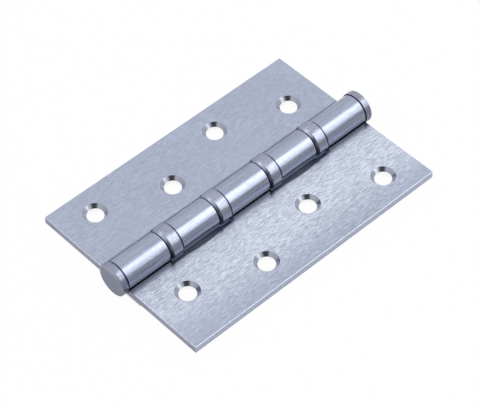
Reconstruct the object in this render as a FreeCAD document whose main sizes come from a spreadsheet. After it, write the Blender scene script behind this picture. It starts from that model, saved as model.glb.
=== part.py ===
import FreeCAD, Part
import math
import os
import Sketcher

# Ball bearing butt hinge, lying open and flat, in millimetres.
# The pin runs along Y through the origin. The three knuckle leaf lies towards +X and
# the two knuckle leaf towards -X, with their countersunk faces up, towards +Z.
# Along the barrel, from -Y: cap, end knuckle, ring 1, inner knuckle, ring 2,
# middle knuckle, ring 3, inner knuckle, ring 4, end knuckle, cap.

LEAF_SIZES = {
    "leaf_length": 100.0,        # along the pin
    "leaf_width": 35.0,          # from the pin's axis to the outer edge
    "leaf_thickness": 2.5,
    "axis_height": 1.9,          # the pin's axis above the countersunk face
    "edge_round": 0.2,           # round on the edges of the countersunk face
    "root_bend": 2.0,            # inside radius where the back face turns into the roll
    "seam_gap": 0.5,             # between the end of the roll and the leaf that it closes on
    "middle_knuckle": 16.2,
    "inner_knuckle": 15.0,
    "knuckle_chamfer": 0.25,
}
NOTCH_SIZES = {
    "notch_corner": 6.6,         # from the pin's axis to the notch floor, at its corners
    "notch_ridge": 6.8,          # the same, where the cut for a ring meets the cut for a knuckle
    "ring_bow": 0.15,            # how far the floor bows outwards beside a ring
    "knuckle_bow": 0.6,          # the same, beside a knuckle
}
SCREW_SIZES = {
    "screw_bore": 5.7,
    "sink_diameter": 8.1,
    "sink_angle": 90.0,
    "inner_column": 17.5,        # from the pin's axis to the nearer column of screw holes
    "outer_column": 25.5,
    "screw_pitch": 25.0,         # from one screw hole to the next along the leaf
}
PIN_SIZES = {
    "pin_diameter": 5.5,
    "pin_play": 0.05,            # radial, in the knuckles
    "pin_chamfer": 0.4,
    "pin_end_gap": 0.2,          # between the pin's end and the cap's shank
    "cap_diameter": 11.2,
    "cap_thickness": 2.3,
    "cap_round": 0.25,
    "cap_inner_round": 0.15,
    "cap_gap": 0.1,              # between the cap and the end knuckle
    "shank_length": 5.0,
    "shank_play": 0.02,          # radial, in the end knuckle
}
BEARING_SIZES = {
    "bearing_height": 5.0,
    "ring_diameter": 11.6,
    "shoulder_drop": 0.6,        # how far the ring narrows towards its near end
    "shoulder_run": 0.9,         # along the pin
    "ring_chamfer": 0.15,        # at the ring's far end
    "ring_wall": 0.5,
    "ring_gap": 0.15,            # between the ring and the knuckles beside it
    "lip_thickness": 0.6,
    "lip_width": 0.6,
    "race_gap": 0.1,             # between the races and the ring, and round the pin
    "race_spacing": 1.5,         # between the two races, where the balls show
    "ball_diameter": 2.0,
    "ball_count": 9,
    "ball_play": 0.05,           # radial, in the grooves
}
SCREWS_IN_A_LEAF = 4
OVERCUT = 1.0                    # how far a cut runs past the solid it cuts
HALF_TURN = 180.0
FULL_TURN = 360.0
ALONG_Z = FreeCAD.Vector(0, 0, 1)
TOLERANCE = 1e-4

doc = FreeCAD.newDocument("ball_bearing_hinge")


class Size:
    """A length: its value, and the expression that gives it from the sheet."""

    def __init__(self, value, text):
        self.value = value
        self.text = text

    def __add__(self, other):
        other = as_size(other)
        return Size(self.value + other.value, "(%s + %s)" % (self.text, other.text))

    def __sub__(self, other):
        other = as_size(other)
        return Size(self.value - other.value, "(%s - %s)" % (self.text, other.text))

    def __mul__(self, other):
        other = as_size(other)
        return Size(self.value * other.value, "(%s * %s)" % (self.text, other.text))

    def __truediv__(self, other):
        other = as_size(other)
        return Size(self.value / other.value, "(%s / %s)" % (self.text, other.text))

    def __radd__(self, other):
        return as_size(other) + self

    def __rsub__(self, other):
        return as_size(other) - self

    def __rmul__(self, other):
        return as_size(other) * self

    def __neg__(self):
        return as_size(0) - self


def as_size(number):
    if isinstance(number, Size):
        return number
    return Size(float(number), repr(float(number)))


def root(size):
    return Size(math.sqrt(size.value), "sqrt(%s)" % size.text)


def leg(long_side, short_side):
    """The other side of a right triangle."""
    return root(long_side * long_side - short_side * short_side)


def make_sheet(*tables):
    """Put every size in a cell of its own, and hand back the sizes by name."""
    sheet = doc.addObject("Spreadsheet::Sheet", "dims")
    named = {}
    row = 0
    for table in tables:
        for name, value in table.items():
            row += 1
            sheet.set("A%d" % row, name)
            sheet.set("B%d" % row, repr(value))
            sheet.setAlias("B%d" % row, name)
            named[name] = Size(value, "dims." + name)
    doc.recompute()
    return named


d = make_sheet(LEAF_SIZES, NOTCH_SIZES, SCREW_SIZES, PIN_SIZES, BEARING_SIZES)

# Sizes that follow from the sheet.
pin_radius = d["pin_diameter"] / 2
bore = pin_radius + d["pin_play"]
knuckle_radius = bore + d["leaf_thickness"]
back_face = d["axis_height"] + d["leaf_thickness"]
half_length = d["leaf_length"] / 2

# The inside of a bearing, in radius. The balls run midway between the races' two edges.
ring_bore = d["ring_diameter"] / 2 - d["ring_wall"]
race_edge = ring_bore - d["race_gap"]
race_eye = pin_radius + d["race_gap"]
ball_circle = (race_eye + race_edge) / 2

# Stations along the barrel, from its middle outwards.
middle_end = d["middle_knuckle"] / 2
inner_start = middle_end + d["bearing_height"]
inner_end = inner_start + d["inner_knuckle"]
outer_start = inner_end + d["bearing_height"]
inner_bearing = (middle_end + inner_start) / 2
outer_bearing = (inner_end + outer_start) / 2


def bind(thing, prop, size):
    thing.setExpression(prop, as_size(size).text)


def new_body(label):
    body = doc.addObject("PartDesign::Body", label)
    body.Label = label
    return body


def lay_on_plane(thing, body, plane):
    """Attach a sketch or a solid to one of its own body's planes."""
    support = [f for f in body.Origin.OriginFeatures if f.Role == plane][0]
    thing.AttachmentSupport = [(support, "")]
    thing.MapMode = "FlatFace"


def new_sketch(body, name, plane, height=None):
    """A sketch on one of the body's own planes, or at a height above it."""
    sketch = body.newObject("Sketcher::SketchObject", body.Label + "_" + name)
    lay_on_plane(sketch, body, plane)
    if height is not None:
        bind(sketch, "AttachmentOffset.Base.z", height)
    return sketch


def new_feature(body, kind, name, sketch):
    feature = body.newObject("PartDesign::" + kind, body.Label + "_" + name)
    feature.Profile = sketch
    return feature


def fix_point(sketch, geometry, end, x, y):
    """Tie a point of the sketch to its two coordinates."""
    for axis, size in (("DistanceX", x), ("DistanceY", y)):
        size = as_size(size)
        index = sketch.addConstraint(Sketcher.Constraint(axis, -1, 1, geometry, end, size.value))
        bind(sketch, "Constraints[%d]" % index, size)


def arc_centre(start, end, radius, large):
    """Centre of the counterclockwise arc from start to end."""
    middle = (start + end) * 0.5
    chord = end - start
    height = math.sqrt(max(radius ** 2 - (chord.Length / 2) ** 2, 0.0))
    left = FreeCAD.Vector(-chord.y, chord.x, 0).normalize()
    return middle - left * height if large else middle + left * height


def draw_outline(sketch, corners):
    """Close an outline through the corners.

    A corner is (x, y), or (x, y, radius, turn) where the edge that leaves it is an arc.
    The turn is left or right, with the word large in front for more than half a circle.
    """
    points = [FreeCAD.Vector(as_size(c[0]).value, as_size(c[1]).value, 0) for c in corners]
    count = len(corners)
    leaving = []
    arriving = []
    for i, corner in enumerate(corners):
        start = points[i]
        end = points[(i + 1) % count]
        if len(corner) == 2:
            geometry = sketch.addGeometry(Part.LineSegment(start, end))
            leaving.append((geometry, 1))
            arriving.append((geometry, 2))
            continue
        radius = as_size(corner[2])
        left_turn = corner[3].endswith("left")
        first, last = (start, end) if left_turn else (end, start)
        centre = arc_centre(first, last, radius.value, corner[3].startswith("large"))
        circle = Part.Circle(centre, ALONG_Z, radius.value)
        arc = Part.ArcOfCircle(circle, circle.parameter(first), circle.parameter(last))
        geometry = sketch.addGeometry(arc)
        leaving.append((geometry, 1 if left_turn else 2))
        arriving.append((geometry, 2 if left_turn else 1))
        index = sketch.addConstraint(Sketcher.Constraint("Radius", geometry, radius.value))
        bind(sketch, "Constraints[%d]" % index, radius)
    for i, corner in enumerate(corners):
        sketch.addConstraint(Sketcher.Constraint("Coincident", *arriving[i - 1], *leaving[i]))
        fix_point(sketch, *leaving[i], corner[0], corner[1])


def draw_circle(sketch, x, y, diameter):
    x, y, diameter = as_size(x), as_size(y), as_size(diameter)
    centre = FreeCAD.Vector(x.value, y.value, 0)
    geometry = sketch.addGeometry(Part.Circle(centre, ALONG_Z, diameter.value / 2))
    fix_point(sketch, geometry, 3, x, y)
    index = sketch.addConstraint(Sketcher.Constraint("Diameter", geometry, diameter.value))
    bind(sketch, "Constraints[%d]" % index, diameter)


def turn_about_pin(body, kind, name, sketch):
    """A Revolution or Groove of the sketch about the pin's axis."""
    feature = new_feature(body, kind, name, sketch)
    feature.ReferenceAxis = (sketch, ["V_Axis"])
    feature.Angle = FULL_TURN
    return feature


def turned_body(label, corners):
    """A piece turned about the pin's axis, from its half section in radius and length."""
    body = new_body(label)
    sketch = new_sketch(body, "section", "XY_Plane")
    draw_outline(sketch, corners)
    turn_about_pin(body, "Revolution", "turned", sketch)
    return body


def place(body, along, half_turn=False):
    """Move a piece along the pin, turned end for end about Z where it is asked."""
    body.Placement.Rotation = FreeCAD.Rotation(ALONG_Z, HALF_TURN if half_turn else 0)
    bind(body, "Placement.Base.y", along)


def rolled_section(body):
    """The leaf and its roll in one section, padded along the whole barrel."""
    h = d["axis_height"]
    seam_top = h - d["seam_gap"]
    bend = d["root_bend"]
    bend_x = leg(knuckle_radius + bend, back_face + bend)
    reach = knuckle_radius / (knuckle_radius + bend)
    sketch = new_sketch(body, "section", "XZ_Plane")
    draw_outline(sketch, [
        (d["leaf_width"], -h),
        (leg(bore, h), -h, bore, "large right"),
        (leg(bore, seam_top), -seam_top),
        (leg(knuckle_radius, seam_top), -seam_top, knuckle_radius, "large left"),
        (bend_x * reach, -((back_face + bend) * reach), bend, "right"),
        (bend_x, -back_face),
        (d["leaf_width"], -back_face),
    ])
    pad = new_feature(body, "Pad", "rolled", sketch)
    bind(pad, "Length", d["leaf_length"])
    pad.Midplane = True
    return pad


def edges_of(feature, chosen):
    """Names of the straight edges whose two ends both pass the test."""
    names = []
    for number, edge in enumerate(feature.Shape.Edges, 1):
        ends = [vertex.Point for vertex in edge.Vertexes]
        if len(ends) == 2 and chosen(ends[0]) and chosen(ends[1]):
            names.append("Edge%d" % number)
    return names


def round_front_edges(body, pad):
    """Round the edges of the countersunk face and the leaf's two outer corners."""
    doc.recompute()
    width = d["leaf_width"].value
    end = half_length.value
    front = -d["axis_height"].value

    def near(a, b):
        return abs(a - b) < TOLERANCE

    names = set(edges_of(pad, lambda p: near(p.z, front) and near(p.x, width)))
    for side in (-end, end):
        names.update(edges_of(pad, lambda p: near(p.z, front) and near(p.y, side)))
        names.update(edges_of(pad, lambda p: near(p.x, width) and near(p.y, side)))
    fillet = body.newObject("PartDesign::Fillet", body.Label + "_edges")
    fillet.Base = (pad, sorted(names))
    bind(fillet, "Radius", d["edge_round"])
    body.Tip = fillet


def arc_radius(chord, bow):
    """Radius of the arc that bows out from a chord."""
    return (chord * chord / 4 + bow * bow) / (bow * 2)


def ring_arc():
    chord = root(d["bearing_height"] * d["bearing_height"] + ridge_step * ridge_step)
    return arc_radius(chord, d["ring_bow"])


ridge_step = d["notch_ridge"] - d["notch_corner"]
past_barrel = -(knuckle_radius + OVERCUT)


def notch_between(low, high):
    """Cut-out for a ring, a knuckle of the other leaf and a ring."""
    ring = d["bearing_height"]
    floor = arc_radius(high - low - ring * 2, d["knuckle_bow"])
    return [
        (past_barrel, low),
        (d["notch_corner"], low, ring_arc(), "left"),
        (d["notch_ridge"], low + ring, floor, "left"),
        (d["notch_ridge"], high - ring, ring_arc(), "left"),
        (d["notch_corner"], high),
        (past_barrel, high),
    ]


def notch_at_end(start, side):
    """Cut-out for a ring and the end knuckle of the other leaf, open at the leaf's end."""
    ring = d["bearing_height"]
    finish = (half_length + OVERCUT) * side
    turn = "left" if side > 0 else "right"
    return [
        (past_barrel, start * side),
        (d["notch_corner"], start * side, ring_arc(), turn),
        (d["notch_ridge"], (start + ring) * side),
        (d["notch_ridge"], finish),
        (past_barrel, finish),
    ]


def cut_notches(body, outlines):
    """Cut the gaps between the knuckles, straight through the sheet and the roll."""
    sketch = new_sketch(body, "gaps", "XY_Plane")
    for outline in outlines:
        draw_outline(sketch, outline)
    pocket = new_feature(body, "Pocket", "notches", sketch)
    pocket.Midplane = True
    pocket.Type = "Length"
    bind(pocket, "Length", (knuckle_radius + OVERCUT) * 2)


def chamfer_knuckles(body, ends):
    """Break the outer edge at both ends of each knuckle."""
    chamfer = d["knuckle_chamfer"]
    sketch = new_sketch(body, "breaks", "XY_Plane")
    for station, inwards in ends:
        draw_outline(sketch, [
            (knuckle_radius - chamfer, station),
            (knuckle_radius, station),
            (knuckle_radius, station + chamfer * inwards),
        ])
    turn_about_pin(body, "Groove", "broken_edges", sketch)


def drill_screw_holes(body):
    """Four countersunk holes in two staggered columns."""
    sketch = new_sketch(body, "screws", "XY_Plane", -d["axis_height"])
    middle = (SCREWS_IN_A_LEAF - 1) / 2
    for number in range(SCREWS_IN_A_LEAF):
        column = d["outer_column"] if number % 2 else d["inner_column"]
        along = d["screw_pitch"] * (number - middle)
        draw_circle(sketch, column, along, d["screw_bore"])
    doc.recompute()
    hole = new_feature(body, "Hole", "screw_holes", sketch)
    hole.Threaded = False
    hole.HoleCutType = "Countersink"
    hole.HoleCutCustomValues = True
    hole.DepthType = "ThroughAll"
    bind(hole, "Diameter", d["screw_bore"])
    bind(hole, "HoleCutDiameter", d["sink_diameter"])
    bind(hole, "HoleCutCountersinkAngle", d["sink_angle"])


def make_leaf(label, outlines, knuckle_ends):
    body = new_body(label)
    pad = rolled_section(body)
    round_front_edges(body, pad)
    cut_notches(body, outlines)
    chamfer_knuckles(body, knuckle_ends)
    drill_screw_holes(body)
    return body


def make_three_knuckle_leaf():
    outlines = [notch_between(middle_end, outer_start), notch_between(-outer_start, -middle_end)]
    ends = [(half_length, -1), (outer_start, 1), (middle_end, -1)]
    ends += [(-station, -inwards) for station, inwards in ends]
    return make_leaf("three_knuckle_leaf", outlines, ends)


def make_two_knuckle_leaf():
    """Drawn towards +X like the other leaf, then turned round to face it."""
    outlines = [notch_between(-inner_start, inner_start)]
    outlines += [notch_at_end(inner_end, side) for side in (1, -1)]
    ends = [(inner_end, -1), (inner_start, 1)]
    ends += [(-station, -inwards) for station, inwards in ends]
    body = make_leaf("two_knuckle_leaf", outlines, ends)
    place(body, 0, half_turn=True)
    return body


def make_pin():
    """The loose pin, between the shanks of the two caps."""
    end = half_length - d["shank_length"] - d["pin_end_gap"]
    chamfer = d["pin_chamfer"]
    return turned_body("hinge_pin", [
        (0, -end),
        (pin_radius - chamfer, -end),
        (pin_radius, -(end - chamfer)),
        (pin_radius, end - chamfer),
        (pin_radius - chamfer, end),
        (0, end),
    ])


def make_cap(label, side):
    """A flat cap whose shank is pressed into the end knuckle."""
    radius = d["cap_diameter"] / 2
    rim = d["cap_round"]
    inner_rim = d["cap_inner_round"]
    seat = d["cap_gap"]
    face = seat + d["cap_thickness"]
    shank = bore - d["shank_play"]
    tip = -d["shank_length"]
    chamfer = d["pin_chamfer"]
    body = turned_body(label, [
        (0, tip),
        (shank - chamfer, tip),
        (shank, tip + chamfer),
        (shank, seat),
        (radius - inner_rim, seat, inner_rim, "left"),
        (radius, seat + inner_rim),
        (radius, face - rim, rim, "left"),
        (radius - rim, face),
        (0, face),
    ])
    place(body, half_length * side, half_turn=side < 0)
    return body


def make_race(label, along, side):
    """A raceway washer, with its boss against the knuckle and its groove under the balls."""
    ball_radius = d["ball_diameter"] / 2
    groove = ball_radius + d["ball_play"]
    inside = d["race_spacing"] / 2
    outside = d["bearing_height"] / 2
    groove_half = leg(groove, inside)
    boss = race_edge - d["lip_width"]
    step = outside - d["ring_gap"] - d["lip_thickness"] - d["race_gap"]
    body = turned_body(label, [
        (race_eye, inside),
        (ball_circle - groove_half, inside, groove, "right"),
        (ball_circle + groove_half, inside),
        (race_edge, inside),
        (race_edge, step),
        (boss, step),
        (boss, outside),
        (race_eye, outside),
    ])
    place(body, along, half_turn=side < 0)
    return body


def make_ring(label, along):
    """The pressed ring, one shoulder sloping, with two lips that hold the races together."""
    radius = d["ring_diameter"] / 2
    chamfer = d["ring_chamfer"]
    end = d["bearing_height"] / 2 - d["ring_gap"]
    shoulder = end - d["shoulder_run"]
    lip = ring_bore - d["lip_width"]
    lip_back = end - d["lip_thickness"]
    body = turned_body(label, [
        (lip, -end),
        (radius - d["shoulder_drop"], -end),
        (radius, -shoulder),
        (radius, end - chamfer),
        (radius - chamfer, end),
        (lip, end),
        (lip, lip_back),
        (ring_bore, lip_back),
        (ring_bore, -lip_back),
        (lip, -lip_back),
    ])
    place(body, along)
    return body


def make_balls(label, along):
    """The balls of one bearing, as one group round the pin."""
    body = new_body(label)
    body.AllowCompound = True
    ball = body.newObject("PartDesign::AdditiveSphere", label + "_ball")
    lay_on_plane(ball, body, "XY_Plane")
    bind(ball, "Radius", d["ball_diameter"] / 2)
    bind(ball, "AttachmentOffset.Base.x", ball_circle)
    doc.recompute()
    pattern = body.newObject("PartDesign::PolarPattern", label + "_round_the_pin")
    pattern.Originals = [ball]
    pin_axis = [f for f in body.Origin.OriginFeatures if f.Role == "Y_Axis"][0]
    pattern.Axis = (pin_axis, [""])
    pattern.Angle = FULL_TURN
    bind(pattern, "Occurrences", d["ball_count"])
    body.Tip = pattern
    place(body, along)
    return body


def make_bearing(number, along):
    name = "bearing_%d" % number
    return [
        make_ring(name + "_ring", along),
        make_race(name + "_near_race", along, -1),
        make_race(name + "_far_race", along, 1),
        make_balls(name + "_balls", along),
    ]


def check(parts):
    """Stop if a feature failed or a piece has no sound shape."""
    for thing in doc.Objects:
        if "Invalid" in thing.State or "Error" in thing.State:
            raise RuntimeError("failed: " + thing.Name)
    for part in parts:
        if part.Shape.isNull() or not part.Shape.isValid():
            raise RuntimeError("no sound shape: " + part.Label)


def main():
    parts = [
        make_three_knuckle_leaf(),
        make_two_knuckle_leaf(),
        make_pin(),
        make_cap("near_cap", -1),
        make_cap("far_cap", 1),
    ]
    stations = (-outer_bearing, -inner_bearing, inner_bearing, outer_bearing)
    for number, along in enumerate(stations, 1):
        parts += make_bearing(number, along)
    doc.recompute()
    check(parts)
    os.makedirs("parts", exist_ok=True)
    for part in parts:
        part.Shape.exportStep("parts/%s.step" % part.Label)
        print(part.Label, len(part.Shape.Solids), round(part.Shape.Volume, 3))


main()
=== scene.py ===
"""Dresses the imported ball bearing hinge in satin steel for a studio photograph.

The hinge lies open on a pale table, its countersunk faces up, and is seen from
the near end of its barrel. Sizes are in metres, with the origin on the pin's
axis, +Y along the pin and +Z out of the countersunk faces.
"""

import math

import bpy
from mathutils import Matrix, Vector


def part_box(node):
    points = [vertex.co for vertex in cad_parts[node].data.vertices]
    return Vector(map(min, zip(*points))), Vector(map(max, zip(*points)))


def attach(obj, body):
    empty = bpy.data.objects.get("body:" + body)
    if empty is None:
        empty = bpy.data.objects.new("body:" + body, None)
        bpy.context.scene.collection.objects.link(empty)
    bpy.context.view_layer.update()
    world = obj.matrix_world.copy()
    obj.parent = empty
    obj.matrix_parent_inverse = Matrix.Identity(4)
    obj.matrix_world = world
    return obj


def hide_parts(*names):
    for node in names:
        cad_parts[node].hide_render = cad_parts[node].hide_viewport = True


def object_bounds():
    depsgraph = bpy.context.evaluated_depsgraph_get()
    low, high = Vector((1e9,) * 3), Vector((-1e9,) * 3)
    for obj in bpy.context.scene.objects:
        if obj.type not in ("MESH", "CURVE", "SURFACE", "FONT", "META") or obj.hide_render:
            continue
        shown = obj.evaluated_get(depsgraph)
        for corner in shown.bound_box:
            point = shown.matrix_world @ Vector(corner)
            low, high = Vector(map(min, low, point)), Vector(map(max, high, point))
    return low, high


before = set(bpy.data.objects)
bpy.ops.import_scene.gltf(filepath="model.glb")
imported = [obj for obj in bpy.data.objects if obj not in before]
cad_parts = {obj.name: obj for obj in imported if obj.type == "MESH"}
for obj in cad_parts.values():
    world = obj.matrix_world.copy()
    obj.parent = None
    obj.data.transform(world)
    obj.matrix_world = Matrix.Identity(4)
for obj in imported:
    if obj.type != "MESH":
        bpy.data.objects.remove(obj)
CAD_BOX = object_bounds()

bl_info = {
    "name": "Ball bearing hinge dressing",
    "version": (1, 0, 0),
    "blender": (4, 5, 0),
    "location": "View3D > Sidebar > Hinge",
    "description": "Steel finishes, bearing balls and a studio for the open hinge",
    "category": "Object",
}

MM = 0.001

LEAVES = ("three_knuckle_leaf", "two_knuckle_leaf")
CAPS = ("near_cap", "far_cap")
PIN = ("hinge_pin",)
BEARINGS = (1, 2, 3, 4)
RINGS = tuple("bearing_%d_ring" % n for n in BEARINGS)
RACES = tuple(
    "bearing_%d_%s_race" % (n, side) for n in BEARINGS for side in ("near", "far")
)

TABLE_GAP = 0.05 * MM
TABLE_LEVEL = CAD_BOX[0].z - TABLE_GAP

# Places along the pin: the gaps at the rings' far ends and at the near cap, and the
# start of each ring's shoulder.
GAP_PLACES = tuple(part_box(name)[1].y for name in RINGS) + (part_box(LEAVES[0])[0].y,)
SHOULDER_PLACES = tuple(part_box(name)[0].y for name in RINGS)

# Each fade is the value at which a share is 0 and the value at which it is 1.
# ACROSS is measured from the pin's axis over the leaves, ALONG from the barrel's
# middle along the pin, and UP from the axis.
PLATE_ACROSS = (6.0 * MM, 8.0 * MM)
# Where the +X leaf's middle gets a painted sheen, strongest near the barrel and towards +Y.
SHEEN_START_ACROSS = (6.0 * MM, 7.0 * MM)
SHEEN_END_ACROSS = (36.0 * MM, 18.0 * MM)
SHEEN_ALONG = (-55.0 * MM, 5.0 * MM)
SHEEN_LEAST = 0.65
SCREWS_START_ACROSS = (12.0 * MM, 13.0 * MM)
SCREWS_END_ACROSS = (31.0 * MM, 30.0 * MM)
SCREWS_ALONG = (44.0 * MM, 43.0 * MM)
# A painted shade line on the -X plate beside the barrel.
CORNER_START_ACROSS = (-8.3 * MM, -7.7 * MM)
CORNER_END_ACROSS = (0.0, -1.0 * MM)
# Painted shade on the barrel's flanks below the top, except on the -X side.
FLANK_ACROSS = (-5.2 * MM, -4.4 * MM)
FLANK_UP = (4.4 * MM, 2.8 * MM)
# Painted shade at the bottom of the knuckles, where they meet their leaf.
ROOT_UP = (2.2 * MM, 0.5 * MM)
# Dark grease in the gaps with painted shade that is stronger low down.
GAP_SPREAD = (0.55 * MM, 0.2 * MM)
GAP_LOW_UP = (-2.2 * MM, -1.2 * MM)
GAP_TOP_UP = (5.4 * MM, 3.9 * MM)
# Painted shade on the rings' shoulders, below their tops.
SHOULDER_START = (-0.15 * MM, -0.05 * MM)
SHOULDER_END = (1.15 * MM, 0.25 * MM)
SHOULDER_UP = (5.0 * MM, 3.4 * MM)

# Fades by how much a surface faces up or along the pin, from 0 to 1.
BORE_FACING = (0.3, 0.1)
STEEP_FACING = (0.2, 0.4)
SHALLOW_FACING = (0.97, 0.85)
END_FACING = (0.6, 0.85)

# Fades by how open a surface is to its surroundings.
VALLEY_OPENNESS = (0.3, 0.95)
CREVICE_OPENNESS = (0.5, 0.95)
TABLE_OPENNESS = (0.05, 0.95)
OPENNESS_SAMPLES = 8

# How much of the dark colour shows: dark grease with painted shade in the gaps, and painted
# shade on the shoulders, in the corner and in the valley; and how much of the painted
# highlight shows at a rim.
GAP_TOP_GREASE_AND_SHADE = 0.45
GAP_LOW_GREASE_AND_SHADE = 0.92
SHOULDER_SHADE = 0.8
CORNER_SHADE = 0.7
VALLEY_SHADE = 0.2
RIM_HIGHLIGHT = 0.6

# The brushing: fades by its noise, shapes against one streak's, and how much of it
# the knuckles, the plates and the middle with the painted sheen have.
CROWD_FADE = (0.36, 0.62)
CROWD_LEAST = 0.6
LIGHT_LINE = (0.52, 0.66)
DARK_LINE = (0.46, 0.32)
HAIR_WIDTH = 0.6
HAIR_LENGTH = 2.0
TONE_LENGTH = 2.0
KNUCKLE_LINES = 0.2
PLATE_LINES = 0.08
MIDDLE_LINES = 0.85

# How strongly each part of the grain shows in the colour, the roughness and the relief.
TONE_SHADE = 0.15
HAIR_SHADE = 1.5
PIT_SHADE = 0.3
LIGHT_SHADE = 0.8
DARK_SHADE = 0.6
BAND_SHADE = 0.45
WIDEST_SHADE = 0.5
HAIR_ROUGHNESS = 0.16
TONE_ROUGHNESS = 0.06
PIT_ROUGHNESS = 0.2
LIGHT_POLISH = 0.05
LEAST_ROUGHNESS = 0.12
MOST_ROUGHNESS = 0.8
HAIR_RELIEF = 0.4
STREAK_RELIEF = 0.35
PIT_RELIEF = 0.8

# The camera's frame, as calibrated from the photograph.
CAMERA_RIGHT = (0.677855, 0.734787, -0.024512)
CAMERA_DOWN = (0.543001, -0.522848, -0.657100)
SENSOR_WIDTH = 36.0

# Directions from the hinge to the soft boxes and to the dark part of the room.
KEY_TOWARDS = (0.38, 0.43, 0.82)
LOW_TOWARDS = (0.72, 0.43, 0.54)
SIDE_TOWARDS = (-0.50, -0.44, 0.76)
DARK_TOWARDS = (0.63, -0.43, 0.65)
DARK_NEARNESS = (0.89, 0.955)
ROOM_HEIGHT = (0.02, 0.62)

# The table's shade under the barrel, and how much of its plain white is seen straight
# and mirrored.
SHADE_INNER_ACROSS = (3.0 * MM, 6.0 * MM)
SHADE_INNER_SHARE = 0.55
SHADE_END_ACROSS = (8.0 * MM, 10.0 * MM)
SHADE_END_ALONG = (48.5 * MM, 50.0 * MM)
SHADE_CURVE = 2.2
BOUNCE_SHARE = 0.8
SEEN_STRAIGHT = 0.97
SEEN_MIRRORED = 0.7

WHITE = (1.0, 1.0, 1.0, 1.0)


# ---------------------------------------------------------------- shader maths


class Term:
    """A number or colour that a shader works out, written like any number."""

    def __init__(self, finish, socket):
        self.finish = finish
        self.socket = socket

    def work(self, operation, *terms):
        """Add one Math node to the finish and give its result."""
        node = self.finish.add(
            "ShaderNodeMath", {"operation": operation}, dict(enumerate(terms))
        )
        return self.finish.out(node)

    def __add__(self, other):
        return self.work("ADD", self, other)

    __radd__ = __add__

    def __sub__(self, other):
        return self.work("SUBTRACT", self, other)

    def __rsub__(self, other):
        return self.work("SUBTRACT", other, self)

    def __mul__(self, other):
        return self.work("MULTIPLY", self, other)

    __rmul__ = __mul__

    def __pow__(self, other):
        return self.work("POWER", self, other)

    def at_least(self, other):
        return self.work("MAXIMUM", self, other)

    def at_most(self, other):
        return self.work("MINIMUM", self, other)

    def size(self):
        return self.work("ABSOLUTE", self)


class Finish:
    """The nodes of a material, the room or the balls, added to an emptied tree."""

    def __init__(self, tree):
        self.tree = tree
        self.tree.nodes.clear()

    def add(self, kind, settings=None, sockets=None):
        """Make a node, set what it is, then fill its sockets with values or links."""
        node = self.tree.nodes.new(kind)
        for name, value in (settings or {}).items():
            setattr(node, name, value)
        for key, value in (sockets or {}).items():
            socket = node.inputs[key]
            if isinstance(value, Term):
                self.tree.links.new(value.socket, socket)
            else:
                socket.default_value = value
        return node

    def out(self, node, key=0):
        return Term(self, node.outputs[key])

    def here(self):
        """The place on the piece, in metres."""
        return self.out(self.add("ShaderNodeTexCoord"), "Object")

    def parts(self, vector):
        """The three numbers of a vector."""
        node = self.add("ShaderNodeSeparateXYZ", {}, {"Vector": vector})
        return [self.out(node, axis) for axis in "XYZ"]

    def openness(self, reach):
        """1 where nothing stands within reach of the surface, towards 0 in a gap."""
        node = self.add(
            "ShaderNodeAmbientOcclusion", {"samples": OPENNESS_SAMPLES}, {"Distance": reach}
        )
        return self.out(node, "AO")

    def noise(self, place, sizes, detail=2.0):
        """Cloudy noise about 0.5, whose cells have these sizes."""
        scale = tuple(1.0 / size for size in sizes)
        cells = self.add(
            "ShaderNodeMapping", {"vector_type": "POINT"}, {"Vector": place, "Scale": scale}
        )
        node = self.add(
            "ShaderNodeTexNoise",
            {"noise_dimensions": "3D"},
            {"Vector": self.out(cells), "Scale": 1.0, "Detail": detail, "Roughness": 0.5},
        )
        return self.out(node, "Fac")

    def between(self, value, low, high):
        """A smooth step from 0 at low to 1 at high."""
        node = self.add(
            "ShaderNodeMapRange",
            {"interpolation_type": "SMOOTHSTEP"},
            {"Value": value, "From Min": low, "From Max": high},
        )
        return self.out(node)

    def mixed(self, share, first, second):
        """A colour part of the way from the first to the second."""
        node = self.add(
            "ShaderNodeMix",
            {"data_type": "RGBA"},
            {"Factor": share, 6: first, 7: second},
        )
        return self.out(node, 2)

    def bumped(self, height, depth):
        """A normal for relief of this height share and depth in metres."""
        sockets = {"Height": height, "Distance": depth, "Strength": 1.0}
        return self.out(self.add("ShaderNodeBump", {}, sockets))


def opaque(colour):
    """A colour property as the four numbers that a colour socket takes."""
    return (colour[0], colour[1], colour[2], 1.0)


def new_finish(name):
    """A new material, and the Finish that its nodes are added to."""
    material = bpy.data.materials.new(name)
    material.use_nodes = True
    return material, Finish(material.node_tree)


class LeafZones:
    """Shares for a leaf's plate, its middle with a painted sheen, bores, countersinks, ends and
    rims.
    """

    def __init__(self, finish, x, y):
        self.plate = finish.between(x.size(), *PLATE_ACROSS)
        lighter = finish.between(x, *SHEEN_START_ACROSS) * finish.between(x, *SHEEN_END_ACROSS)
        far_share = (1.0 - SHEEN_LEAST) * finish.between(y, *SHEEN_ALONG)
        self.lighter = lighter * (SHEEN_LEAST + far_share)

        screws = finish.between(x.size(), *SCREWS_START_ACROSS)
        screws = screws * finish.between(x.size(), *SCREWS_END_ACROSS)
        screws = screws * finish.between(y.size(), *SCREWS_ALONG)
        normal = finish.out(finish.add("ShaderNodeTexCoord"), "Normal")
        _, along, up = [part.size() for part in finish.parts(normal)]
        tilted = finish.between(up, *STEEP_FACING) * finish.between(up, *SHALLOW_FACING)
        self.bore = screws * finish.between(up, *BORE_FACING)
        self.sink = screws * tilted
        self.rim = (1.0 - screws) * tilted
        self.end = finish.between(along, *END_FACING)


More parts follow.
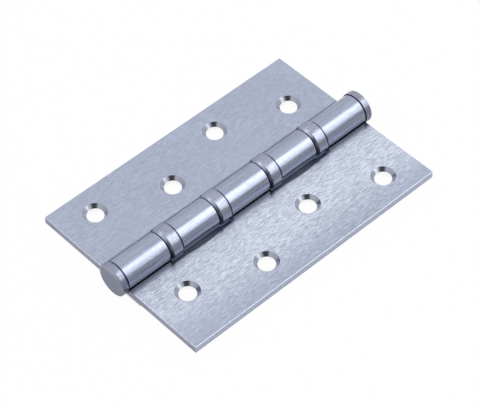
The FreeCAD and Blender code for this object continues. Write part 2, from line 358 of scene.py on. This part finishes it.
class Grain:
    """The brushing along the pin, the slow tone and the pressed grain of a piece."""

    def __init__(self, finish, here, look):
        width = look.streak_width
        length = look.streak_length
        tone = look.tone_size
        crowd = finish.noise(here, (look.patch_size,) * 3, detail=1.0)
        crowd = (1.0 - CROWD_LEAST) * finish.between(crowd, *CROWD_FADE) + CROWD_LEAST
        self.streak = finish.noise(here, (width, length, width), detail=1.0)
        self.light = finish.between(self.streak, *LIGHT_LINE) * crowd
        self.dark = finish.between(self.streak, *DARK_LINE) * crowd
        width = width * HAIR_WIDTH
        self.hair = finish.noise(here, (width, length * HAIR_LENGTH, width))
        self.tone = finish.noise(here, (tone, tone * TONE_LENGTH, tone))
        self.pits = finish.noise(here, (look.pit_size,) * 3, detail=1.0)

    def shade(self, lines, mottle, ramble):
        """How much darker or lighter the steel is than its colour, about 0."""
        shade = (self.tone - 0.5) * (TONE_SHADE * ramble)
        shade = shade + (self.hair - 0.5) * (lines * HAIR_SHADE)
        shade = shade + (self.pits - 0.5) * (PIT_SHADE * mottle)
        return shade + self.light * (lines * LIGHT_SHADE) - self.dark * (lines * DARK_SHADE)

    def roughness(self, middle, lines, mottle):
        """The roughness, about its middle value."""
        rough = middle + (self.hair - 0.5) * (lines * HAIR_ROUGHNESS)
        rough = rough + (self.tone - 0.5) * TONE_ROUGHNESS
        rough = rough + (self.pits - 0.5) * (PIT_ROUGHNESS * mottle)
        return rough - self.light * (lines * LIGHT_POLISH)

    def relief(self, lines, mottle):
        """The height of the lines and the pressed grain."""
        relief = self.hair * lines * HAIR_RELIEF + self.streak * lines * STREAK_RELIEF
        return relief + self.pits * (PIT_RELIEF * mottle)


def gap_grease_and_shade(finish, y, z):
    """How dark the gaps between knuckles, rings and caps are: dark grease in the joints with
    painted shade that is stronger low down, and painted shade on the rings' shoulders below their
    tops.
    """
    grease_with_shade = 0.0
    for place in GAP_PLACES:
        grease_with_shade = finish.between((y - place).size(), *GAP_SPREAD).at_least(grease_with_shade)
    # Painted shade on the rings' shoulders, below their tops.
    under = finish.between(z, *SHOULDER_UP) * SHOULDER_SHADE
    for place in SHOULDER_PLACES:
        past = y - place
        shoulder = finish.between(past, *SHOULDER_START) * finish.between(past, *SHOULDER_END)
        grease_with_shade = (shoulder * under).at_least(grease_with_shade)
    grease_with_shade = grease_with_shade * finish.between(z, *GAP_LOW_UP)
    more = (GAP_LOW_GREASE_AND_SHADE - GAP_TOP_GREASE_AND_SHADE) * finish.between(z, *GAP_TOP_UP)
    return grease_with_shade * (more + GAP_TOP_GREASE_AND_SHADE)


def ramped(finish, share, colour):
    """The colour made darker or lighter by a share, 0.5 being the colour itself."""
    spread = min(WIDEST_SHADE, 1.0 / max(colour) - 1.0)
    dull = opaque([c * (1.0 - spread) for c in colour])
    bright = opaque([c * (1.0 + spread) for c in colour])
    return finish.mixed(share, dull, bright)


def plate_colour(finish, x, zones, share, look):
    """A leaf's colour away from its knuckles."""
    grease_with_shade = opaque(look.grease_and_shade_colour)
    flat = ramped(finish, share, look.leaf_colour)
    # Painted sheen: a lighter copy of the leaf colour over one leaf's middle.
    flat = finish.mixed(zones.lighter, flat, ramped(finish, share, look.sheen_colour))
    # Painted shade: the countersinks take a darker colour.
    flat = finish.mixed(zones.sink, flat, opaque(look.sink_shade_colour))
    flat = finish.mixed(zones.end, flat, opaque(look.end_colour))
    # Painted highlight along the plates' rounded rims.
    flat = finish.mixed(zones.rim * RIM_HIGHLIGHT, flat, opaque(look.rim_highlight_colour))
    # Painted shade where the barrel meets a leaf.
    valley = finish.between(finish.openness(look.valley_size), *VALLEY_OPENNESS)
    flat = finish.mixed(valley * VALLEY_SHADE + (1.0 - VALLEY_SHADE), grease_with_shade, flat)
    # Painted shade along the -X plate where it meets the barrel.
    corner = finish.between(x, *CORNER_START_ACROSS) * finish.between(x, *CORNER_END_ACROSS)
    return finish.mixed(corner * CORNER_SHADE, flat, grease_with_shade)


def steel(
    name, colour, flank_shade_colour, roughness, look, lines=1.0, mottle=0.0, ramble=1.0, leaf=False
):
    """Satin steel, brushed along the pin, with painted shade low on its flanks.

    lines is how strongly the brushing shows, mottle how much a duller, pressed
    grain shows, and ramble how far the tone wanders over the surface. A leaf is
    brushed on its plate, smoother on its knuckles, with a painted reflection that
    makes its screw holes bright.
    """
    material, finish = new_finish(name)
    here = finish.here()
    x, y, z = finish.parts(here)
    grain = Grain(finish, here, look)
    if leaf:
        zones = LeafZones(finish, x, y)
        knuckle = 1.0 - zones.plate
        lines = KNUCKLE_LINES + zones.plate * (PLATE_LINES + zones.lighter * MIDDLE_LINES)

    shade = grain.shade(lines, mottle, ramble)
    if leaf:
        band = finish.noise(here, (look.band_width, look.band_length, look.band_width))
        shade = shade + (band - 0.5) * knuckle * BAND_SHADE
    share = (shade + 0.5).at_least(0.0).at_most(1.0)

    # Painted shade: a darker copy of the colour, used low on the flanks.
    flank = ramped(finish, share, flank_shade_colour)
    if leaf:
        # Painted shade at the knuckles' bottoms.
        root = finish.between(z, *ROOT_UP)
        flank = finish.mixed(root, flank, opaque(look.root_shade_colour))
    low = finish.between(z, *FLANK_UP) * finish.between(x, *FLANK_ACROSS)
    base = finish.mixed(low, ramped(finish, share, colour), flank)
    grease_with_shade = opaque(look.grease_and_shade_colour)
    # Dark grease with painted shade in the gaps, and painted shade on the rings' shoulders.
    base = finish.mixed(gap_grease_and_shade(finish, y, z), base, grease_with_shade)
    if leaf:
        flat = plate_colour(finish, x, zones, share, look)
        base = finish.mixed(zones.plate, base, flat)
    # Painted shade: the steel turns to the dark colour where other surfaces stand close.
    crevice = finish.between(finish.openness(look.crevice_size), *CREVICE_OPENNESS)
    base = finish.mixed(crevice, grease_with_shade, base)

    rough = grain.roughness(roughness, lines, mottle)
    if leaf:
        # Painted reflection: the bore walls are near white, so the holes show as white as the
        # table.
        base = finish.mixed(zones.bore, base, opaque(look.bore_reflection_colour))
        rough = rough - knuckle * look.knuckle_polish - zones.sink * look.sink_polish

    shader = finish.add(
        "ShaderNodeBsdfPrincipled",
        {},
        {
            "Base Color": base,
            "Metallic": 1.0,
            "Roughness": rough.at_least(LEAST_ROUGHNESS).at_most(MOST_ROUGHNESS),
            "Normal": finish.bumped(grain.relief(lines, mottle), look.line_depth),
        },
    )
    finish.add("ShaderNodeOutputMaterial", {}, {"Surface": finish.out(shader)})
    return material


def dress(names, material):
    """Give CAD pieces, whose shapes stay, a finish."""
    for name in names:
        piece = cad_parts[name]
        piece.data.materials.clear()
        piece.data.materials.append(material)


# ------------------------------------------------------------------ properties


def colour_property(name, description, default):
    return bpy.props.FloatVectorProperty(
        name=name,
        description=description,
        subtype="COLOR",
        size=3,
        min=0.0,
        max=1.0,
        default=default,
    )


def length_property(name, description, default):
    return bpy.props.FloatProperty(
        name=name,
        description=description,
        subtype="DISTANCE",
        unit="LENGTH",
        default=default,
        precision=5,
    )


def share_property(name, description, default):
    return bpy.props.FloatProperty(
        name=name,
        description=description,
        subtype="FACTOR",
        min=0.0,
        max=1.0,
        default=default,
    )


def plain_property(name, description, default):
    return bpy.props.FloatProperty(
        name=name, description=description, min=0.0, default=default
    )


class HingeSteelLook(bpy.types.PropertyGroup):
    """Colours and grain of the steel, with its painted light and shade."""

    leaf_colour: colour_property(
        "Leaf colour", "Cool satin steel of both leaves", (0.405, 0.445, 0.565)
    )
    # Painted sheen on the middle of the +X leaf.
    sheen_colour: colour_property(
        "Light colour", "Lighter middle of one leaf", (0.585, 0.63, 0.745)
    )
    # Painted shade in the countersinks.
    sink_shade_colour: colour_property(
        "Sink colour", "Bare cut of the countersinks", (0.375, 0.40, 0.475)
    )
    # Painted reflection: near-white walls so that the screw holes show white.
    bore_reflection_colour: colour_property(
        "Bore colour", "Bright drilled walls of the screw holes", (0.96, 0.96, 0.97)
    )
    end_colour: colour_property(
        "End colour", "Sheared ends of the leaves", (0.265, 0.275, 0.36)
    )
    # Painted highlight on the plates' rounded rims.
    rim_highlight_colour: colour_property(
        "Rim colour", "Edges that handling has worn bright", (0.85, 0.88, 0.97)
    )
    leaf_roughness: share_property("Leaf roughness", "Satin of the leaves", 0.34)
    sink_polish: share_property(
        "Sink polish", "How much less rough the countersinks are", 0.12
    )
    knuckle_colour: colour_property(
        "Knuckle colour", "Steel of the rolled knuckles", (0.36, 0.395, 0.51)
    )
    # Painted shade low on the knuckles' flanks.
    knuckle_flank_shade_colour: colour_property(
        "Knuckle low colour", "Duller steel on the knuckles' flanks", (0.232, 0.252, 0.325)
    )
    # Painted shade where a knuckle meets its leaf.
    root_shade_colour: colour_property(
        "Root colour", "Duller steel where a knuckle meets its leaf", (0.24, 0.25, 0.30)
    )
    knuckle_polish: share_property(
        "Knuckle polish", "How much less rough the rolled knuckles are", 0.09
    )
    band_width: length_property(
        "Band width", "Width of the marks that bending left along a knuckle", 0.7 * MM
    )
    band_length: length_property(
        "Band length", "Length of the marks that bending left along a knuckle", 16.0 * MM
    )
    cap_colour: colour_property(
        "Cap colour", "Steel of the two end caps", (0.29, 0.31, 0.40)
    )
    # Painted shade low on the caps' flanks.
    cap_flank_shade_colour: colour_property(
        "Cap low colour", "Duller steel on the caps' flanks", (0.18, 0.195, 0.265)
    )
    cap_roughness: share_property("Cap roughness", "Satin of the caps", 0.28)
    ring_colour: colour_property(
        "Ring colour", "Steel of the bearing rings", (0.345, 0.37, 0.475)
    )
    # Painted shade low on the rings' flanks.
    ring_flank_shade_colour: colour_property(
        "Ring low colour", "Duller steel on the rings' flanks", (0.225, 0.233, 0.285)
    )
    ring_roughness: share_property("Ring roughness", "Satin of the rings", 0.30)
    pin_colour: colour_property(
        "Pin colour", "Ground steel of the pin", (0.42, 0.43, 0.45)
    )
    pin_roughness: share_property("Pin roughness", "Polish of the ground pin", 0.30)
    race_colour: colour_property(
        "Race colour", "Hardened steel of the races", (0.36, 0.36, 0.38)
    )
    race_roughness: share_property("Race roughness", "Polish of the races", 0.30)
    ball_colour: colour_property(
        "Ball colour", "Polished steel of the balls", (0.62, 0.63, 0.66)
    )
    ball_roughness: share_property("Ball roughness", "Polish of the balls", 0.14)
    streak_width: length_property(
        "Streak width", "Width of one line of the brushing", 0.14 * MM
    )
    streak_length: length_property(
        "Streak length", "Length of one line of the brushing", 1.7 * MM
    )
    patch_size: length_property(
        "Patch size", "Size of the patches where the lines crowd", 9.0 * MM
    )
    tone_size: length_property(
        "Tone size", "Size of the slow changes of tone", 14.0 * MM
    )
    pit_size: length_property("Pit size", "Size of the pressed grain", 0.35 * MM)
    line_depth: length_property("Line depth", "Depth of the brushed lines", 0.012 * MM)
    # The dark colour of the grease in the gaps, also used for painted shade in crevices, valleys
    # and corners.
    grease_and_shade_colour: colour_property(
        "Crevice colour", "Dark grease in the gaps", (0.012, 0.017, 0.052)
    )
    # Reach of the painted shade in crevices.
    crevice_size: length_property(
        "Crevice size", "How near two surfaces stand where grease has darkened them", 0.8 * MM
    )
    valley_size: length_property(
        "Valley size", "How far the shade reaches where the barrel meets a leaf", 6.0 * MM
    )


class HingeBallSizes(bpy.types.PropertyGroup):
    """Sizes of the balls in each bearing."""

    count: bpy.props.IntProperty(
        name="Balls", description="Balls in each bearing", min=3, default=9
    )
    diameter: length_property("Ball diameter", "Across one ball", 2.0 * MM)
    fineness: bpy.props.IntProperty(
        name="Fineness", description="Times each ball's faces are split", min=1, default=4
    )


class HingeStudio(bpy.types.PropertyGroup):
    """Camera, lamps, room and table of the photograph."""

    camera_place: bpy.props.FloatVectorProperty(
        name="Camera place",
        description="Where the camera stands",
        subtype="TRANSLATION",
        unit="LENGTH",
        size=3,
        default=(326.041 * MM, -284.391 * MM, 488.959 * MM),
    )
    lens: bpy.props.FloatProperty(
        name="Lens", description="Focal length on a 36 mm frame, in mm", default=157.622
    )
    table_level: length_property(
        "Table level", "Height of the table's top", TABLE_LEVEL
    )
    table_size: length_property("Table size", "Side of the table", 6.0)
    table_colour: colour_property("Table colour", "White table", (0.86, 0.86, 0.87))
    key_size: length_property("Key size", "Side of the main soft box", 0.42)
    key_light: plain_property("Key light", "Brightness of the main soft box's face", 1.9)
    low_size: length_property("Low size", "Side of the lower soft box", 0.36)
    low_light: plain_property("Low light", "Brightness of the lower soft box's face", 1.2)
    side_size: length_property("Side size", "Side of the soft box on the left", 0.35)
    side_light: plain_property("Side light", "Brightness of the left soft box's face", 1.2)
    lamp_distance: length_property("Lamp distance", "From the hinge to a soft box", 0.9)
    sky: plain_property("Sky", "Light of the room from above", 1.0)
    horizon: plain_property("Horizon", "Light of the room from the sides", 0.78)
    dark_side: share_property("Dark side", "Light that the room's dark part lacks", 0.93)
    contact: length_property(
        "Contact", "How far the barrel's own shade reaches on the table", 6.0 * MM
    )
    shade_colour: colour_property(
        "Shade colour", "The table right under the barrel", (0.010, 0.016, 0.042)
    )
    # Painted reflection: the colour that the steel mirrors from the table under the barrel.
    bounce_colour: colour_property(
        "Bounce colour", "The table under the barrel, as the steel mirrors it", (0.36, 0.46, 0.70)
    )


# ------------------------------------------------------------------- operators


class HingeFinishLeaves(bpy.types.Operator):
    """Give both leaves their brushed satin steel"""

    bl_idname = "hinge.finish_leaves"
    bl_label = "Finish the leaves"

    def execute(self, context):
        look = context.scene.hinge_steel
        finish = steel(
            "leaf_steel",
            look.knuckle_colour,
            look.knuckle_flank_shade_colour,
            look.leaf_roughness,
            look,
            leaf=True,
        )
        dress(LEAVES, finish)
        return {"FINISHED"}


class HingeFinishCaps(bpy.types.Operator):
    """Give the two end caps their turned satin steel"""

    bl_idname = "hinge.finish_caps"
    bl_label = "Finish the caps"

    def execute(self, context):
        look = context.scene.hinge_steel
        finish = steel(
            "cap_steel",
            look.cap_colour,
            look.cap_flank_shade_colour,
            look.cap_roughness,
            look,
            lines=0.4,
            mottle=0.5,
        )
        dress(CAPS, finish)
        return {"FINISHED"}


class HingeFinishRings(bpy.types.Operator):
    """Give the four bearing rings their duller steel"""

    bl_idname = "hinge.finish_rings"
    bl_label = "Finish the bearing rings"

    def execute(self, context):
        look = context.scene.hinge_steel
        finish = steel(
            "ring_steel",
            look.ring_colour,
            look.ring_flank_shade_colour,
            look.ring_roughness,
            look,
            lines=0.35,
            mottle=0.7,
        )
        dress(RINGS, finish)
        return {"FINISHED"}


class HingeFinishPin(bpy.types.Operator):
    """Give the pin its ground steel"""

    bl_idname = "hinge.finish_pin"
    bl_label = "Finish the pin"

    def execute(self, context):
        look = context.scene.hinge_steel
        colour = look.pin_colour
        rough = look.pin_roughness
        dress(PIN, steel("pin_steel", colour, colour, rough, look, lines=0.3, mottle=0.3))
        return {"FINISHED"}


class HingeFinishRaces(bpy.types.Operator):
    """Give the pressed races their hardened steel"""

    bl_idname = "hinge.finish_races"
    bl_label = "Finish the races"

    def execute(self, context):
        look = context.scene.hinge_steel
        colour = look.race_colour
        rough = look.race_roughness
        dress(RACES, steel("race_steel", colour, colour, rough, look, lines=0.2, mottle=0.6))
        return {"FINISHED"}


def tree_input(tree, name, kind):
    """Add a named input to a node group and give its identifier."""
    return tree.interface.new_socket(name, in_out="INPUT", socket_type=kind).identifier


def ball_ring_tree():
    """Nodes that set balls round the pin's axis, and their inputs' identifiers."""
    tree = bpy.data.node_groups.new("balls_round_the_pin", "GeometryNodeTree")
    tree.interface.new_socket("Geometry", in_out="OUTPUT", socket_type="NodeSocketGeometry")
    kinds = {
        "Balls": "NodeSocketInt",
        "Ball radius": "NodeSocketFloat",
        "Circle radius": "NodeSocketFloat",
        "Place": "NodeSocketVector",
        "Fineness": "NodeSocketInt",
        "Finish": "NodeSocketMaterial",
    }
    names = {name: tree_input(tree, name, kind) for name, kind in kinds.items()}
    maker = Finish(tree)
    given = maker.add("NodeGroupInput")
    circle = maker.add(
        "GeometryNodeMeshCircle",
        {"fill_type": "NONE"},
        {"Vertices": maker.out(given, "Balls"), "Radius": maker.out(given, "Circle radius")},
    )
    turned = maker.add(
        "GeometryNodeTransform",
        {},
        {
            "Geometry": maker.out(circle),
            "Translation": maker.out(given, "Place"),
            "Rotation": (math.radians(90.0), 0.0, 0.0),
        },
    )
    ball = maker.add(
        "GeometryNodeMeshIcoSphere",
        {},
        {
            "Radius": maker.out(given, "Ball radius"),
            "Subdivisions": maker.out(given, "Fineness"),
        },
    )
    smooth = maker.add("GeometryNodeSetShadeSmooth", {}, {"Geometry": maker.out(ball)})
    placed = maker.add(
        "GeometryNodeInstanceOnPoints",
        {},
        {"Points": maker.out(turned), "Instance": maker.out(smooth)},
    )
    real = maker.add("GeometryNodeRealizeInstances", {}, {"Geometry": maker.out(placed)})
    finished = maker.add(
        "GeometryNodeSetMaterial",
        {},
        {"Geometry": maker.out(real), "Material": maker.out(given, "Finish")},
    )
    maker.add("NodeGroupOutput", {}, {"Geometry": maker.out(finished)})
    return tree, names


def grown(name, tree, names, values):
    """A plain mesh piece that a node tree makes from these values."""
    seed = bpy.data.objects.new(name + "_nodes", bpy.data.meshes.new(name + "_nodes"))
    bpy.context.scene.collection.objects.link(seed)
    modifier = seed.modifiers.new("nodes", "NODES")
    modifier.node_group = tree
    for key, value in values.items():
        modifier[names[key]] = value
    seed.update_tag()
    shown = bpy.context.evaluated_depsgraph_get()
    mesh = bpy.data.meshes.new_from_object(seed.evaluated_get(shown))
    mesh.name = name
    seed.modifiers.remove(modifier)
    bpy.data.objects.remove(seed)
    piece = bpy.data.objects.new(name, mesh)
    bpy.context.scene.collection.objects.link(piece)
    if not mesh.polygons:
        raise RuntimeError("no faces came out for " + name)
    return piece


class HingeMakeBalls(bpy.types.Operator):
    """Set the polished balls in the four bearings"""

    bl_idname = "hinge.make_balls"
    bl_label = "Make the bearing balls"

    def execute(self, context):
        look = context.scene.hinge_steel
        sizes = context.scene.hinge_balls
        finish = steel(
            "ball_steel",
            look.ball_colour,
            look.ball_colour,
            look.ball_roughness,
            look,
            lines=0.05,
            mottle=0.1,
            ramble=0.3,
        )
        tree, names = ball_ring_tree()
        for number in BEARINGS:
            node = "bearing_%d_balls" % number
            low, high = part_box(node)
            piece = grown(
                "ball_set_%d" % number,
                tree,
                names,
                {
                    "Balls": sizes.count,
                    "Ball radius": sizes.diameter / 2,
                    "Circle radius": high.x - sizes.diameter / 2,
                    "Place": (0.0, (low.y + high.y) / 2, 0.0),
                    "Fineness": sizes.fineness,
                    "Finish": finish,
                },
            )
            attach(piece, "ball_set_%d" % number)
            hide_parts(node)
        return {"FINISHED"}


def camera_frame(place):
    """The camera's turn and place: its right, up and back directions, as calibrated."""
    right = Vector(CAMERA_RIGHT)
    down = Vector(CAMERA_DOWN)
    ahead = right.cross(down)
    turn = Matrix((right, -down, -ahead)).transposed()
    return Matrix.Translation(place) @ turn.to_4x4()


def make_camera(studio):
    """The photograph's own view."""
    lens = bpy.data.cameras.new("photo_camera")
    lens.sensor_fit = "HORIZONTAL"
    lens.sensor_width = SENSOR_WIDTH
    lens.lens = studio.lens
    camera = bpy.data.objects.new("photo_camera", lens)
    camera.matrix_world = camera_frame(Vector(studio.camera_place))
    bpy.context.scene.collection.objects.link(camera)
    bpy.context.scene.camera = camera


def make_soft_box(name, towards, side, brightness, distance):
    """A square soft lamp in this direction, which faces the hinge."""
    towards = Vector(towards).normalized()
    lamp = bpy.data.lights.new(name, "AREA")
    lamp.shape = "SQUARE"
    lamp.size = side
    lamp.energy = brightness * math.pi * side * side
    piece = bpy.data.objects.new(name, lamp)
    piece.location = towards * distance
    piece.rotation_mode = "QUATERNION"
    piece.rotation_quaternion = towards.to_track_quat("Z", "Y")
    bpy.context.scene.collection.objects.link(piece)


def seen(finish, mirrored):
    """1 where the camera or clear matter looks, mirrored in a reflection, 0 for other light."""
    path = finish.add("ShaderNodeLightPath")
    in_mirror = finish.out(path, "Is Glossy Ray") * mirrored
    straight = finish.out(path, "Is Camera Ray")
    return straight.at_least(finish.out(path, "Is Transmission Ray")).at_least(in_mirror)


def make_room(studio):
    """The room's even light, darker low down and in one direction, with a white backdrop."""
    world = bpy.data.worlds.new("studio_room")
    world.use_nodes = True
    bpy.context.scene.world = world
    room = Finish(world.node_tree)
    x, y, z = room.parts(room.out(room.add("ShaderNodeTexCoord"), "Generated"))
    light = studio.horizon + room.between(z, *ROOM_HEIGHT) * (studio.sky - studio.horizon)
    dark = Vector(DARK_TOWARDS).normalized()
    nearness = x * dark.x + y * dark.y + z * dark.z
    light = light * (1.0 - room.between(nearness, *DARK_NEARNESS) * studio.dark_side)
    camera_ray = room.out(room.add("ShaderNodeLightPath"), "Is Camera Ray")
    strength = light * (1.0 - camera_ray) + camera_ray
    sky = room.add("ShaderNodeBackground", {}, {"Color": WHITE, "Strength": strength})
    room.add("ShaderNodeOutputWorld", {}, {"Surface": room.out(sky)})


def table_openness(table, across, along, reach):
    """1 on the open table, towards 0 in the barrel's own shade."""
    openness = table.between(table.openness(reach), *TABLE_OPENNESS)
    inner = table.between(across, *SHADE_INNER_ACROSS) * SHADE_INNER_SHARE
    openness = openness.at_least(inner).at_least(table.between(across, *SHADE_END_ACROSS))
    return openness.at_least(table.between(along, *SHADE_END_ALONG))


def table_finish(studio):
    """White table that the camera sees as plain white, shaded under the barrel."""
    material, table = new_finish("white_table")
    x, y, _ = table.parts(table.here())
    across, along = x.size(), y.size()
    screws = table.between(across, *SCREWS_START_ACROSS)
    screws = screws * table.between(across, *SCREWS_END_ACROSS)
    # Painted reflection: under the screw holes the steel mirrors the table at full white.
    white_share = seen(table, screws * (1.0 - SEEN_MIRRORED) + SEEN_MIRRORED) * SEEN_STRAIGHT

    openness = table_openness(table, across, along, studio.contact)
    cast = table.mixed(openness**SHADE_CURVE, opaque(studio.shade_colour), WHITE)
    glossy = table.out(table.add("ShaderNodeLightPath"), "Is Glossy Ray")
    # Painted reflection: in the steel, the table under the barrel shows the bounce colour.
    bounce = glossy * (1.0 - openness) * BOUNCE_SHARE
    cast = table.mixed(bounce, cast, opaque(studio.bounce_colour))

    lit = table.add("ShaderNodeBsdfDiffuse", {}, {"Color": opaque(studio.table_colour)})
    glow = table.add("ShaderNodeEmission", {}, {"Color": cast, "Strength": 1.0})
    both = table.add(
        "ShaderNodeMixShader", {}, {0: white_share, 1: table.out(lit), 2: table.out(glow)}
    )
    table.add("ShaderNodeOutputMaterial", {}, {"Surface": table.out(both)})
    return material


def make_table(studio):
    """The floor under the hinge."""
    half = studio.table_size / 2
    turns = ((-half, -half), (half, -half), (half, half), (-half, half))
    corners = [(x, y, studio.table_level) for x, y in turns]
    mesh = bpy.data.meshes.new("table")
    mesh.from_pydata(corners, [], [(0, 1, 2, 3)])
    mesh.materials.append(table_finish(studio))
    table = bpy.data.objects.new("table", mesh)
    bpy.context.scene.collection.objects.link(table)


class HingeSetStage(bpy.types.Operator):
    """Set the camera, the soft boxes, the room and the table"""

    bl_idname = "hinge.set_stage"
    bl_label = "Set the stage"

    def execute(self, context):
        studio = context.scene.hinge_studio
        make_camera(studio)
        distance = studio.lamp_distance
        make_soft_box("key_box", KEY_TOWARDS, studio.key_size, studio.key_light, distance)
        make_soft_box("low_box", LOW_TOWARDS, studio.low_size, studio.low_light, distance)
        make_soft_box("side_box", SIDE_TOWARDS, studio.side_size, studio.side_light, distance)
        make_room(studio)
        make_table(studio)
        context.scene.view_settings.view_transform = "Standard"
        return {"FINISHED"}


OPERATORS = (
    HingeSetStage,
    HingeFinishLeaves,
    HingeFinishCaps,
    HingeFinishRings,
    HingeFinishPin,
    HingeFinishRaces,
    HingeMakeBalls,
)
GROUPS = {
    "hinge_steel": HingeSteelLook,
    "hinge_balls": HingeBallSizes,
    "hinge_studio": HingeStudio,
}


class HingePanel(bpy.types.Panel):
    """Lists the hinge's operators and sizes"""

    bl_idname = "VIEW3D_PT_hinge"
    bl_label = "Ball bearing hinge"
    bl_space_type = "VIEW_3D"
    bl_region_type = "UI"
    bl_category = "Hinge"

    def draw(self, context):
        for group in GROUPS:
            box = self.layout.box()
            values = getattr(context.scene, group)
            for name in values.bl_rna.properties.keys():
                if name not in ("rna_type", "name"):
                    box.prop(values, name)
        for operator in OPERATORS:
            self.layout.operator(operator.bl_idname)


def register():
    for kind in (*GROUPS.values(), *OPERATORS, HingePanel):
        bpy.utils.register_class(kind)
    for name, kind in GROUPS.items():
        setattr(bpy.types.Scene, name, bpy.props.PointerProperty(type=kind))


def unregister():
    for name in GROUPS:
        delattr(bpy.types.Scene, name)
    for kind in reversed((*GROUPS.values(), *OPERATORS, HingePanel)):
        bpy.utils.unregister_class(kind)


def main():
    register()
    bpy.ops.hinge.set_stage()
    bpy.ops.hinge.finish_leaves()
    bpy.ops.hinge.finish_caps()
    bpy.ops.hinge.finish_rings()
    bpy.ops.hinge.finish_pin()
    bpy.ops.hinge.finish_races()
    bpy.ops.hinge.make_balls()


if __name__ == "__main__":
    main()
